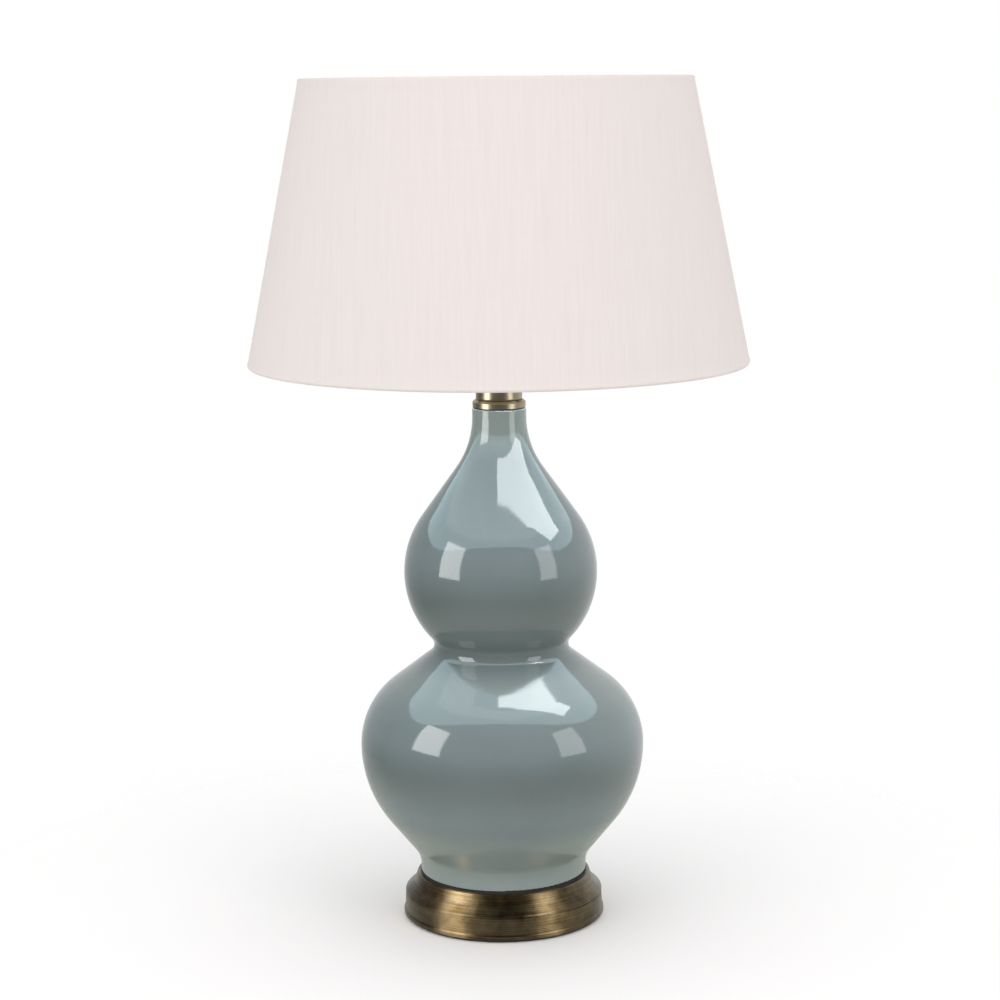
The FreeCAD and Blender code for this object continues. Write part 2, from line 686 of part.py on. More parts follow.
def glass_section(inset):
    """Closed section of the glass: neck, sweep, slope and round crown."""
    flank = unit(-GLASS_FLANK_DEG)
    crown_c = at(0, GLASS_Z + GLASS_H - GLASS_R)
    sweep_x = GLASS_NECK_R + GLASS_SWEEP
    sweep_c = at(sweep_x, crown_c.z + (GLASS_R + GLASS_SWEEP - sweep_x * flank.x) / flank.z)
    crown_r = GLASS_R - inset
    sweep_r = GLASS_SWEEP + inset
    neck = GLASS_NECK_R - inset
    low = GLASS_Z + inset
    edges = [line(at(0, low), at(neck, low)),
             line(at(neck, low), at(neck, sweep_c.z)),
             arc(sweep_c, sweep_r, 180, 180 - GLASS_FLANK_DEG),
             line(sweep_c - flank * sweep_r, crown_c + flank * crown_r),
             arc(crown_c, crown_r, -GLASS_FLANK_DEG, 90),
             line(crown_c + unit(90) * crown_r, at(0, low))]
    return Part.Wire(Part.__sortEdges__(edges))


def bulb_glass():
    return spin(glass_section(0)).cut(spin(glass_section(GLASS_T)))


# ---------------------------------------------------------------- the lamp
PIECES = [felt_pad, brass_foot, base_cover_plate, ballast_disc, cord_grommet,
          rod_washer, rod_nut, threaded_rod,
          foot_gasket, gourd_body, neck_seal, neck_cap,
          holder_cup, holder_lock_nut, holder_porcelain, holder_barrel,
          terminal_screws, screw_sleeve, centre_contact, switch_blade, switch_bar, switch_knobs,
          shade_carrier, shade_screw_ring, shade_bottom_ring, shade_top_ring, shade_liner, shade_fabric,
          bulb_tip, bulb_insulator, bulb_cap, bulb_glass]


def main():
    os.makedirs("parts", exist_ok=True)
    for make in PIECES:
        name = make.__name__
        shape = make()
        if not shape.Solids or not all(s.isValid() and s.Volume > 0 for s in shape.Solids):
            raise ValueError(name + " isn't a sound solid")
        print(f"{name:18s} {len(shape.Solids)} solid  {shape.Volume / 1000:8.2f} cm3")
        shape.exportStep(f"parts/{name}.step")


main()
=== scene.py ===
import math

import bpy
from bpy.props import FloatProperty, FloatVectorProperty, PointerProperty
from mathutils import Matrix, Vector


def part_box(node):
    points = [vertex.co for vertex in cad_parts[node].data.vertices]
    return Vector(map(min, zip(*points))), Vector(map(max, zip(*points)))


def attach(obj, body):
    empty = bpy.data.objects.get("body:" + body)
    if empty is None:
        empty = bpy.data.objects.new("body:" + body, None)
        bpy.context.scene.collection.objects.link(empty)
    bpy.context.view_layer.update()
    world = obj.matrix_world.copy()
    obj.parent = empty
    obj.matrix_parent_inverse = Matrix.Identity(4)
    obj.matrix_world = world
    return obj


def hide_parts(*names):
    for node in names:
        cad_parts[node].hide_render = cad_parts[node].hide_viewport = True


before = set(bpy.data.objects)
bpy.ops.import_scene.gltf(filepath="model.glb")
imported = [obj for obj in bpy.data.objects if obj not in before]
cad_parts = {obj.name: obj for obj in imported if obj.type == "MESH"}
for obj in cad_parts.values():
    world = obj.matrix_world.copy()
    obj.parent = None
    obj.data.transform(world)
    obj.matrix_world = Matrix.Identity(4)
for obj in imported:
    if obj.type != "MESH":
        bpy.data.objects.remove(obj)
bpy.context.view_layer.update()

bl_info = {
    "name": "Double Gourd Lamp",
    "version": (1, 0, 0),
    "blender": (4, 5, 0),
    "location": "View3D > Sidebar > Lamp",
    "description": "Finishes a double gourd table lamp: glaze, brass, woven shade, bulb and studio",
    "category": "Object",
}

MM = 0.001
FULL_TURN = 2 * math.pi


# ---------------------------------------------------------------- places, read from the frame
def low(node):
    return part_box(node)[0]


def high(node):
    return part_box(node)[1]


def middle(node):
    return (low(node) + high(node)) / 2


FLOOR_Z = low("felt_pad").z
FELT_R = high("felt_pad").x
FELT_TOP_Z = high("felt_pad").z
GOURD_LOW_Z = low("gourd_body").z
GOURD_TOP_Z = high("gourd_body").z

BARREL_LOW_Z = low("holder_barrel").z
BARREL_TOP_Z = high("holder_barrel").z
FLANGE_R = high("holder_barrel").x
HOLDER_R = high("holder_cup").x

BULB_CAP_R = high("bulb_cap").x
BULB_CAP_LOW_Z = low("bulb_cap").z
BULB_CAP_TOP_Z = high("bulb_cap").z

# the two wire rings that the cloth is rolled round, and the slope between them
RING_WIRE_R = (high("shade_bottom_ring").z - low("shade_bottom_ring").z) / 2
LOW_RING_R = high("shade_bottom_ring").x - RING_WIRE_R
LOW_RING_Z = middle("shade_bottom_ring").z
TOP_RING_R = high("shade_top_ring").x - RING_WIRE_R
TOP_RING_Z = middle("shade_top_ring").z
SHADE_SLOPE = math.hypot(LOW_RING_R - TOP_RING_R, TOP_RING_Z - LOW_RING_Z)
SHADE_LEAN = math.asin((LOW_RING_R - TOP_RING_R) / SHADE_SLOPE)
APEX_Z = LOW_RING_Z + LOW_RING_R / math.tan(SHADE_LEAN)

# share of the gourd's height, and how deep the glaze looks there: 0 thinner with painted light, 1 thicker
# with painted shade
GLAZE_DEPTHS_AND_SHADE = (
    (0.0, 0.15), (0.09, 0.12), (0.16, 0.45), (0.25, 0.85), (0.34, 0.50), (0.44, 0.30),
    (0.50, 0.85), (0.60, 0.90), (0.72, 0.50), (0.88, 0.45), (0.96, 0.05))

# felt
FELT_SOFT = 0.8 * MM
FELT_FUZZ = 0.12 * MM

# barrel of the lampholder, with the thread that the screw ring runs on
BARREL_WALL = 1.2 * MM
FLANGE_UP = 19.0 * MM        # barrel's low edge to the flange
FLANGE_T = 1.6 * MM
FLANGE_SOFT = 0.4 * MM
THREAD_R = 19.35 * MM
THREAD_DEEP = 0.65 * MM
THREAD_PITCH = 2.0 * MM
THREAD_FLAT = 0.3 * MM
MOUTH_R = 14.5 * MM
MOUTH_T = 1.4 * MM
MOUTH_CHAMFER = 0.8 * MM

# screw thread of the bulb's cap: round crests and roots
SCREW_R = 13.1 * MM
SCREW_PITCH = 3.62 * MM
SCREW_DEEP = 0.95 * MM
SCREW_H = 18.2 * MM
SKIRT_H = 5.0 * MM
CAP_SHEET = 0.3 * MM

# cloth of the shade
CLOTH_T = 0.45 * MM
ROLL_R = 2.25 * MM           # outside of the cloth rolled round a ring
ROLL_CREASE = 0.35 * MM      # how far the cloth sinks back between the rolls
ROLL_RUNOUT = 1.2 * MM       # slope in which it sinks
TURN_IN = 3.75 * MM          # cloth turned in behind a ring, past its middle
SEAM_W = 12.0 * MM
SEAM_PROUD = 0.5 * MM
ROUND_SHADE = 258            # steps round the shade: each arm then meets the middle of one
ARM_BEARINGS = (90, 210, 330)

# floor of the studio
FLOOR_R = 6.0
FLOOR_FADE = (0.15, 0.65)
FLOOR_SEEN = (0.90, 0.90, 0.90)
FLOOR_THROWN = (0.52, 0.53, 0.48)

# backdrop: its even light, and the room that shows in the gloss
EVEN_LIGHT = 1.04
ROOM_FRONT = 0.045
ROOM_BACK = 0.75
ROOM_RAMP = (-0.1, 0.9)
LIGHTER_SIDE = (0.45, 0.85, 0.0)     # the room is lighter behind the lamp, to the right

# softboxes that show in the gloss: side, place, width and power
SOFTBOX_H = 0.46
SOFTBOX_AIM = (0, 0, 0.40)
SOFTBOXES = (("left", (-0.612, -0.339, 0.48), 0.34, 2.5), ("right", (0.60, -0.40, 0.47), 0.30, 1.1))
FOOT_SHINE = 9.0             # power of a softbox's twin on the foot, for a softbox of 1 W
FOOT_EVENING = 0.7           # below 1, the twins differ less than the softboxes do

# lights on the whole lamp: name, place, side of the square, power and colour
LAMP_MIDDLE = (0, 0, 0.34)
FRONT_LIGHTS = (("key", (1.1, -1.6, 1.7), 1.3, 10, (1, 0.88, 0.88)),
                ("fill", (-1.4, -1.5, 1.2), 1.4, 8, (1, 0.90, 0.90)))

# lights hung level, just under the shade
HUNG_Z = 0.45
TOP_CARD_SPOT = (0.115, -0.06)
TOP_CARD_SIZE = (0.25, 0.09)
CEILING_SPOT = (0, 0)
CEILING_SIZE = (0.90, 0.47)

SENSOR_W = 36


# ---------------------------------------------------------------- sizes and colours that a user may change
class LampGlaze(bpy.types.PropertyGroup):
    """Glaze of the gourd."""

    colour: FloatVectorProperty(
        name="Glaze", description="Duck-egg glaze on the round parts of the gourd",
        subtype="COLOR", size=3, min=0, max=1, default=(0.172, 0.218, 0.224))
    # darkest glaze colour: thicker glaze, and painted shade in the crease and under each bulb
    pool: FloatVectorProperty(
        name="Pooled glaze", description="Thicker glaze in the crease and above the foot",
        subtype="COLOR", size=3, min=0, max=1, default=(0.112, 0.138, 0.130))
    # lightest glaze colour: thinner glaze, and painted light at the neck and foot
    thin_and_lit: FloatVectorProperty(
        name="Thin glaze", description="Thinner glaze at neck and foot, where the body shows through",
        subtype="COLOR", size=3, min=0, max=1, default=(0.290, 0.345, 0.330))
    wave: FloatProperty(
        name="Unevenness", description="Height of the soft waves in the glaze",
        subtype="DISTANCE", unit="LENGTH", min=0, max=0.002, default=0.35 * MM)


class LampBrass(bpy.types.PropertyGroup):
    """Antique brass of the foot and the lampholder."""

    colour: FloatVectorProperty(
        name="Brass", description="Polished high spots of the antique brass",
        subtype="COLOR", size=3, min=0, max=1, default=(0.260, 0.190, 0.100))
    patina: FloatVectorProperty(
        name="Patina", description="Browned brass between the brush strokes",
        subtype="COLOR", size=3, min=0, max=1, default=(0.040, 0.024, 0.006))
    stroke: FloatProperty(
        name="Brush stroke", description="Width of one stroke of the brushing round the lathe",
        subtype="DISTANCE", unit="LENGTH", min=0.0001, max=0.005, default=0.45 * MM)


class LampCloth(bpy.types.PropertyGroup):
    """Cloth of the shade."""

    colour: FloatVectorProperty(
        name="Cloth", description="Warm white cotton of the shade",
        subtype="COLOR", size=3, min=0, max=1, default=(0.885, 0.835, 0.810))
    thread: FloatProperty(
        name="Thread", description="Distance between two threads of the weave",
        subtype="DISTANCE", unit="LENGTH", min=0.0002, max=0.003, default=0.55 * MM)


class LampStage(bpy.types.PropertyGroup):
    """Floor, lights and camera."""

    lens: FloatProperty(
        name="Lens", description="Focal length on a 36 mm wide picture",
        subtype="DISTANCE_CAMERA", unit="CAMERA", min=10, max=300, default=90)
    far: FloatProperty(
        name="Camera distance", description="Level distance from the camera to the lamp's axis",
        subtype="DISTANCE", unit="LENGTH", min=0.5, max=10, default=1.985)
    up: FloatProperty(
        name="Camera height", description="Height of the camera above the floor",
        subtype="DISTANCE", unit="LENGTH", min=0, max=5, default=0.671)
    pitch: FloatProperty(
        name="Pitch", description="How far the camera looks down",
        subtype="ANGLE", unit="ROTATION", default=math.radians(9.36))
    roll: FloatProperty(
        name="Roll", description="How far the picture leans to the left",
        subtype="ANGLE", unit="ROTATION", default=math.radians(0.55))


class LampSettings(bpy.types.PropertyGroup):
    """All settings of the lamp."""

    glaze: PointerProperty(type=LampGlaze, name="Glaze")
    brass: PointerProperty(type=LampBrass, name="Brass")
    cloth: PointerProperty(type=LampCloth, name="Cloth")
    stage: PointerProperty(type=LampStage, name="Stage")


# ---------------------------------------------------------------- materials
class Finish:
    """A node material with one Principled shader, built a node at a time."""

    def __init__(self, name, colour, rough, metal=0.0, **sockets):
        self.material = bpy.data.materials.new(name)
        self.material.use_nodes = True
        self.tree = self.material.node_tree
        self.tree.nodes.clear()
        self.output = self.tree.nodes.new("ShaderNodeOutputMaterial")
        self.shader = self.tree.nodes.new("ShaderNodeBsdfPrincipled")
        self.tree.links.new(self.shader.outputs[0], self.output.inputs["Surface"])
        self.shader.inputs["Base Color"].default_value = (*colour, 1)
        self.shader.inputs["Roughness"].default_value = rough
        self.shader.inputs["Metallic"].default_value = metal
        for socket, value in sockets.items():
            self.shader.inputs[socket.replace("_", " ")].default_value = value
        self.material.diffuse_color = (*colour, 1)

    def node(self, kind, inputs=None, **settings):
        node = self.tree.nodes.new("ShaderNode" + kind)
        for key, value in settings.items():
            setattr(node, key, value)
        for socket, value in (inputs or {}).items():
            self.feed(node.inputs[socket], value)
        return node

    def feed(self, socket, value):
        """Links an output to the socket, or sets it to a plain value."""
        if isinstance(value, bpy.types.Node):
            value = value.outputs[0]
        if isinstance(value, bpy.types.NodeSocket):
            self.tree.links.new(value, socket)
        else:
            socket.default_value = value

    def place(self, stretch=(1, 1, 1)):
        """Object coordinates in metres, stretched."""
        spot = self.node("TexCoord").outputs["Object"]
        return self.node("Mapping", {"Vector": spot, "Scale": stretch})

    def turned_place(self, across, round_it):
        """Coordinates of a turned piece: fine along its section, slow round the axis."""
        spot = self.node("TexCoord").outputs["Object"]
        axes = self.node("SeparateXYZ", {0: spot})
        flat = self.node("CombineXYZ", {0: axes.outputs[0], 1: axes.outputs[1]})
        out = self.node("VectorMath", {0: flat}, operation="LENGTH").outputs["Value"]
        angle = self.node("Math", {0: axes.outputs[1], 1: axes.outputs[0]}, operation="ARCTAN2")
        lathe = self.node("CombineXYZ", {0: out, 1: axes.outputs[2], 2: angle})
        return self.node("Mapping", {"Vector": lathe, "Scale": (across, across, round_it)})

    def noise(self, place, scale, detail=2.0, rough=0.5):
        return self.node("TexNoise", {"Vector": place, "Scale": scale,
                                      "Detail": detail, "Roughness": rough})

    def spread(self, value, low_value, high_value, start=0.0, end=1.0):
        """Maps a value from start..end to low_value..high_value."""
        return self.node("MapRange", {"Value": value, "From Min": start, "From Max": end,
                                      "To Min": low_value, "To Max": high_value})

    def blend(self, amount, first, second):
        """Colour between two colours."""
        mix = self.node("Mix", data_type="RGBA")
        self.feed(mix.inputs[0], amount)
        for socket, value in ((mix.inputs[6], first), (mix.inputs[7], second)):
            linked = isinstance(value, (bpy.types.Node, bpy.types.NodeSocket))
            self.feed(socket, value if linked else (*value, 1))
        return mix.outputs[2]

    def bump(self, height, distance, strength=1.0, under=None):
        """Adds a bump of so many metres, over an earlier one."""
        bump = self.node("Bump", {"Height": height, "Distance": distance, "Strength": strength})
        if under is not None:
            self.tree.links.new(under.outputs[0], bump.inputs["Normal"])
        self.tree.links.new(bump.outputs[0], self.shader.inputs["Normal"])
        return bump

    def colour(self, value):
        self.feed(self.shader.inputs["Base Color"], value)

    def rough(self, value):
        self.feed(self.shader.inputs["Roughness"], value)


def celadon_glaze(glaze):
    """Duck-egg glaze, softly clouded: thinner with painted light at the neck and foot, thicker with
    painted shade in the crease and under each bulb.
    """
    f = Finish("celadon_glaze", glaze.colour, 0.07, IOR=1.52, Coat_Weight=0.35, Coat_Roughness=0.03)
    spot = f.place()
    height = f.node("SeparateXYZ", {0: f.node("TexCoord").outputs["Object"]}).outputs[2]
    clouds = f.noise(spot, 9, 4, 0.55)
    drift = f.noise(f.place((1, 1, 0.4)), 30, 3)
    # ramp by height: glaze thickness, with painted shade in the crease and under each bulb and painted
    # light at the neck and foot
    depth_and_shade = f.node("ValToRGB", {0: f.spread(height, 0, 1, GOURD_LOW_Z, GOURD_TOP_Z)})
    depth_and_shade.color_ramp.interpolation = "EASE"
    stops = depth_and_shade.color_ramp.elements
    stops[0].position, stops[0].color = GLAZE_DEPTHS_AND_SHADE[0][0], (GLAZE_DEPTHS_AND_SHADE[0][1],) * 3 + (1,)
    stops[1].position, stops[1].color = GLAZE_DEPTHS_AND_SHADE[-1][0], (GLAZE_DEPTHS_AND_SHADE[-1][1],) * 3 + (1,)
    for place, deep_and_shade in GLAZE_DEPTHS_AND_SHADE[1:-1]:
        stops.new(place).color = (deep_and_shade,) * 3 + (1,)
    # ramp value with clouds: high for thicker glaze and painted shade, low for thinner glaze and painted
    # light
    thick = f.node("Math", {0: depth_and_shade, 1: f.spread(clouds, -0.08, 0.08, 0.25, 0.75)}, operation="ADD")
    # colours along the ramp: thinner glaze with painted light, plain glaze, thicker glaze with painted
    # shade
    tint_and_shade = f.node("ValToRGB", {0: thick})
    glaze_and_shade_colours = tint_and_shade.color_ramp.elements
    glaze_and_shade_colours[0].color = (*glaze.thin_and_lit, 1)
    glaze_and_shade_colours[1].color = (*glaze.pool, 1)
    glaze_and_shade_colours.new(0.5).color = (*glaze.colour, 1)
    f.colour(tint_and_shade)
    f.rough(f.spread(drift, 0.045, 0.11))
    waves = f.bump(f.noise(f.place((1, 1, 0.7)), 22, 1.5), glaze.wave * 4)
    f.bump(f.noise(spot, 420, 2), 0.012 * MM, 1, waves)
    return f.material


def antique_brass(brass):
    """Browned brass, brushed on the lathe: fine rings that follow each turned surface."""
    f = Finish("antique_brass", brass.colour, 0.38, 1.0, Anisotropic=0.9, Anisotropic_Rotation=0.25,
               Coat_Weight=0.5, Coat_Roughness=0.12)
    per_stroke = 1 / brass.stroke
    rings = f.noise(f.turned_place(per_stroke, 1.2), 1, 4, 0.6)
    coarse = f.noise(f.turned_place(per_stroke / 9, 0.5), 1, 2)
    spots = f.noise(f.place(), 55, 5, 0.6)
    brushed = f.spread(rings, 0, 0.75, 0.3, 0.7)
    blotched = f.spread(spots, -0.25, 0.35, 0.35, 0.7)
    worn = f.node("Math", {0: brushed, 1: blotched}, operation="ADD", use_clamp=True)
    f.colour(f.blend(worn, brass.patina, brass.colour))
    f.rough(f.spread(coarse, 0.33, 0.43, 0.3, 0.7))
    f.feed(f.shader.inputs["Tangent"], f.node("Tangent", direction_type="RADIAL", axis="Z"))
    f.bump(rings, 0.02 * MM)
    return f.material


def bright_brass():
    """Bare stamped brass of the contacts and the sleeve, a little tarnished."""
    f = Finish("bright_brass", (0.72, 0.54, 0.26), 0.22, 1.0)
    f.colour(f.blend(f.noise(f.place(), 220, 3), (0.60, 0.43, 0.20), (0.82, 0.64, 0.34)))
    f.rough(f.spread(f.noise(f.place(), 400, 2), 0.15, 0.32))
    return f.material


def black_felt():
    """Pressed felt: matted fibres, a dusty sheen."""
    f = Finish("black_felt", (0.018, 0.018, 0.020), 0.95, Sheen_Weight=0.6, Sheen_Roughness=0.5)
    fibres = f.noise(f.place((1, 0.35, 1)), 1500, 4, 0.7)
    f.colour(f.blend(fibres, (0.010, 0.010, 0.012), (0.045, 0.044, 0.048)))
    f.bump(fibres, 0.25 * MM)
    return f.material


def black_rubber():
    f = Finish("black_rubber", (0.022, 0.022, 0.022), 0.62)
    grain = f.noise(f.place(), 900, 3)
    f.rough(f.spread(grain, 0.5, 0.75))
    f.bump(grain, 0.03 * MM)
    return f.material


def plated_steel():
    """Zinc-plated nuts, washer and rod."""
    f = Finish("plated_steel", (0.60, 0.61, 0.62), 0.28, 1.0)
    bloom = f.noise(f.place(), 180, 4)
    f.colour(f.blend(bloom, (0.50, 0.50, 0.49), (0.70, 0.71, 0.73)))
    f.rough(f.spread(bloom, 0.2, 0.42))
    return f.material


def grey_iron():
    """Cast ballast, as it left the sand."""
    f = Finish("grey_iron", (0.10, 0.10, 0.10), 0.7, 0.8)
    sand = f.noise(f.place(), 700, 5, 0.7)
    f.colour(f.blend(sand, (0.06, 0.055, 0.05), (0.17, 0.165, 0.16)))
    f.bump(sand, 0.2 * MM)
    return f.material


def white_porcelain():
    f = Finish("white_porcelain", (0.82, 0.81, 0.77), 0.18, IOR=1.5)
    f.colour(f.blend(f.noise(f.place(), 120, 3), (0.78, 0.77, 0.72), (0.86, 0.855, 0.82)))
    f.bump(f.noise(f.place(), 500, 2), 0.02 * MM)
    return f.material


def black_plastic():
    """Moulded switch bar and knobs."""
    f = Finish("black_plastic", (0.02, 0.018, 0.016), 0.35, IOR=1.55)
    skin = f.noise(f.place(), 1100, 3)
    f.rough(f.spread(skin, 0.28, 0.42))
    f.bump(skin, 0.01 * MM)
    return f.material


def white_wire():
    """Powder-coated wire and plate of the shade's frame."""
    f = Finish("white_wire", (0.80, 0.80, 0.78), 0.38)
    peel = f.noise(f.place(), 1300, 2)
    f.colour(f.blend(f.noise(f.place(), 60, 3), (0.76, 0.755, 0.73), (0.84, 0.84, 0.82)))
    f.bump(peel, 0.03 * MM)
    return f.material


def white_liner():
    """Stiff translucent sheet behind the cloth; the cloth's weave shows through it faintly."""
    f = Finish("white_liner", (0.84, 0.83, 0.80), 0.42, IOR=1.45)
    fleck = f.noise(f.turned_place(500, 60), 1, 3)
    f.colour(f.blend(fleck, (0.82, 0.805, 0.775), (0.87, 0.862, 0.84)))
    f.bump(fleck, 0.03 * MM)
    return f.material


def aluminium():
    """Thin pressed cap of the bulb."""
    f = Finish("bulb_aluminium", (0.70, 0.70, 0.71), 0.3, 1.0)
    marks = f.noise(f.turned_place(900, 4), 1, 3)
    f.rough(f.spread(marks, 0.2, 0.42))
    f.bump(marks, 0.02 * MM)
    return f.material


def opal_glass():
    """Milk-white bulb glass."""
    f = Finish("opal_glass", (0.88, 0.875, 0.86), 0.12, IOR=1.5, Coat_Weight=0.4, Coat_Roughness=0.03)
    f.shader.inputs["Subsurface Weight"].default_value = 0.3
    f.shader.inputs["Subsurface Radius"].default_value = (0.01, 0.009, 0.008)
    milk = f.noise(f.place(), 35, 3)
    f.colour(f.blend(milk, (0.86, 0.85, 0.83), (0.90, 0.895, 0.885)))
    f.rough(f.spread(milk, 0.09, 0.16))
    return f.material


def black_glass():
    f = Finish("black_glass", (0.012, 0.012, 0.014), 0.12, IOR=1.52)
    f.rough(f.spread(f.noise(f.place(), 300, 2), 0.08, 0.2))
    return f.material


def solder():
    f = Finish("solder", (0.62, 0.62, 0.60), 0.35, 1.0)
    grain = f.noise(f.place(), 600, 4)
    f.rough(f.spread(grain, 0.25, 0.5))
    f.bump(grain, 0.05 * MM)
    return f.material


def shade_cloth(cloth):
    """Plain cotton weave on the flat cut: threads over and under, thicker ones here and there."""
    f = Finish("shade_cloth", cloth.colour, 0.85, Sheen_Weight=0.2, Sheen_Roughness=0.4)
    flat = f.node("UVMap", uv_map="weave")
    per_thread = 1 / cloth.thread
    threads = f.node("Mapping", {"Vector": flat, "Scale": (per_thread,) * 3})
    axes = f.node("SeparateXYZ", {0: threads})
    crowns = []
    for axis in (0, 1):
        turned = f.node("Math", {0: axes.outputs[axis], 1: math.pi}, operation="MULTIPLY")
        wave = f.node("Math", {0: turned}, operation="SINE")
        crowns.append(f.node("Math", {0: wave}, operation="ABSOLUTE"))
    over = f.node("TexChecker", {"Vector": threads, "Scale": 1.0}).outputs["Fac"]
    weave = f.node("Mix", data_type="FLOAT")
    f.feed(weave.inputs[0], over)
    f.feed(weave.inputs[2], crowns[0])
    f.feed(weave.inputs[3], crowns[1])
    warp = f.noise(f.node("Mapping", {"Vector": flat, "Scale": (420, 14, 1)}), 1, 3, 0.6)
    weft = f.noise(f.node("Mapping", {"Vector": flat, "Scale": (10, 500, 1)}), 1, 2, 0.5)
    uneven = f.node("Math", {0: warp, 1: f.spread(weft, -0.05, 0.05, 0.3, 0.7)}, operation="ADD")
    streak = f.spread(uneven, 0.0, 1.0, 0.3, 0.7)
    f.colour(f.blend(streak, [c * 0.95 for c in cloth.colour], cloth.colour))
    thick = f.bump(warp, 0.12 * MM)
    f.bump(weave.outputs[0], 0.10 * MM, 0.6, thick)
    through = f.node("BsdfTranslucent", {"Color": (*cloth.colour, 1)})
    mix = f.node("MixShader", {0: 0.25, 1: f.shader, 2: through})
    f.tree.links.new(mix.outputs[0], f.output.inputs["Surface"])
    return f.material


# ---------------------------------------------------------------- shaping a piece
def dress(node, material):
    """Gives a CAD piece its finish, in each of its material slots."""
    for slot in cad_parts[node].material_slots:
        slot.material = material


def new_piece(name, material):
    """A single vertex in edit mode, the start of a section. The object is at the origin."""
    bpy.ops.object.select_all(action="DESELECT")
    bpy.ops.mesh.primitive_plane_add(size=MM)
    piece = bpy.context.object
    piece.name = piece.data.name = name
    piece.data.materials.append(material)
    bpy.ops.object.mode_set(mode="EDIT")
    bpy.ops.mesh.select_mode(type="VERT")
    bpy.ops.mesh.select_all(action="SELECT")
    bpy.ops.mesh.merge(type="CENTER")
    return piece


class Section:
    """Section drawn with a moving pen in the plane of radius and height."""

    def __init__(self, r, z):
        bpy.ops.transform.translate(value=(r, 0, z))
        self.r = r
        self.z = z

    def to(self, r, z, parts=1):
        """Straight run, in equal parts."""
        step = ((r - self.r) / parts, 0, (z - self.z) / parts)
        for _ in range(parts):
            bpy.ops.mesh.extrude_region_move(TRANSFORM_OT_translate={"value": step})
        self.r, self.z = r, z

    def bend(self, centre_r, centre_z, degrees, parts=4):
        """Arc about a centre; positive bends turn the pen to its left."""
        turn = math.radians(degrees)
        bpy.ops.mesh.spin(steps=parts, angle=turn, center=(centre_r, 0, centre_z), axis=(0, 1, 0))
        r, z = self.r - centre_r, self.z - centre_z
        self.r = centre_r + r * math.cos(turn) - z * math.sin(turn)
        self.z = centre_z + r * math.sin(turn) + z * math.cos(turn)


def close_up():
    """Merges what meets and turns the faces outwards."""
    bpy.ops.mesh.select_all(action="SELECT")
    bpy.ops.mesh.remove_doubles(threshold=0.001 * MM)
    bpy.ops.mesh.normals_make_consistent(inside=False)


def turn_round(steps):
    """Turns the section about the lamp's axis."""
    bpy.ops.mesh.select_all(action="SELECT")
    bpy.ops.mesh.spin(steps=steps, angle=FULL_TURN, center=(0, 0, 0), axis=(0, 0, 1))
    close_up()


def pick_faces(piece, wanted):
    """Selects the faces whose centre and normal are wanted."""
    bpy.ops.mesh.select_mode(type="FACE")
    bpy.ops.mesh.select_all(action="DESELECT")
    bpy.ops.object.mode_set(mode="OBJECT")
    for face in piece.data.polygons:
        face.select = wanted(face.center, face.normal)
    bpy.ops.object.mode_set(mode="EDIT")


def modify(piece, kind, **settings):
    """Puts a modifier on the piece and applies it."""
    bpy.context.view_layer.objects.active = piece
    modifier = piece.modifiers.new(kind, kind)
    for key, value in settings.items():
        setattr(modifier, key, value)
    bpy.ops.object.modifier_apply(modifier=modifier.name)


def leave(piece, corner=35):
    """Leaves edit mode and smooths the piece, except at its corners."""
    bpy.ops.object.mode_set(mode="OBJECT")
    bpy.ops.object.shade_smooth_by_angle(angle=math.radians(corner))
    return piece


def join(piece, *others):
    """Makes several parts of a piece one mesh."""
    bpy.ops.object.select_all(action="DESELECT")
    for part in (piece, *others):
        part.select_set(True)
    bpy.context.view_layer.objects.active = piece
    bpy.ops.object.join()
    return piece


# ---------------------------------------------------------------- pieces
def felt_disc(material):
    """Felt under the foot: soft edge, matted all over."""
    piece = new_piece("felt_disc", material)
    pen = Section(0, FLOOR_Z)
    pen.to(FELT_R - FELT_SOFT, FLOOR_Z, 24)
    pen.bend(FELT_R - FELT_SOFT, FLOOR_Z + FELT_SOFT, 90)
    pen.to(FELT_R, FELT_TOP_Z - FELT_SOFT)
    pen.bend(FELT_R - FELT_SOFT, FELT_TOP_Z - FELT_SOFT, 90)
    pen.to(0, FELT_TOP_Z, 24)
    turn_round(240)
    leave(piece, 60)
    matted = bpy.data.textures.new("matted", "CLOUDS")
    matted.noise_scale = 0.9 * MM
    edge = piece.vertex_groups.new(name="edge")
    rim = [v.index for v in piece.data.vertices if math.hypot(v.co.x, v.co.y) > FELT_R - FELT_SOFT]
    edge.add(rim, 1.0, "REPLACE")
    modify(piece, "DISPLACE", texture=matted, strength=-FELT_FUZZ, mid_level=0, vertex_group="edge")
    return piece


def barrel_wall(material):
    """Wall of the lampholder's barrel, with its flange and its turned-in mouth."""
    flange_z = BARREL_LOW_Z + FLANGE_UP
    flange_top = flange_z + FLANGE_T
    round_r = FLANGE_R - FLANGE_SOFT
    root_r = THREAD_R - THREAD_DEEP
    piece = new_piece("lampholder_barrel", material)
    pen = Section(HOLDER_R - BARREL_WALL, BARREL_LOW_Z)
    pen.to(HOLDER_R, BARREL_LOW_Z)
    pen.to(HOLDER_R, flange_z)
    pen.to(round_r, flange_z)
    pen.bend(round_r, flange_z + FLANGE_SOFT, 90)
    pen.to(FLANGE_R, flange_top - FLANGE_SOFT)
    pen.bend(round_r, flange_top - FLANGE_SOFT, 90)
    pen.to(root_r, flange_top)
    pen.to(root_r, BARREL_TOP_Z - MOUTH_CHAMFER)
    pen.to(root_r - MOUTH_CHAMFER, BARREL_TOP_Z)
    pen.to(MOUTH_R + MOUTH_T / 2, BARREL_TOP_Z)
    pen.bend(MOUTH_R + MOUTH_T / 2, BARREL_TOP_Z - MOUTH_T / 2, 180, 8)
    pen.to(HOLDER_R - BARREL_WALL, BARREL_TOP_Z - MOUTH_T)
    pen.to(HOLDER_R - BARREL_WALL, BARREL_LOW_Z)
    turn_round(128)
    return leave(piece)


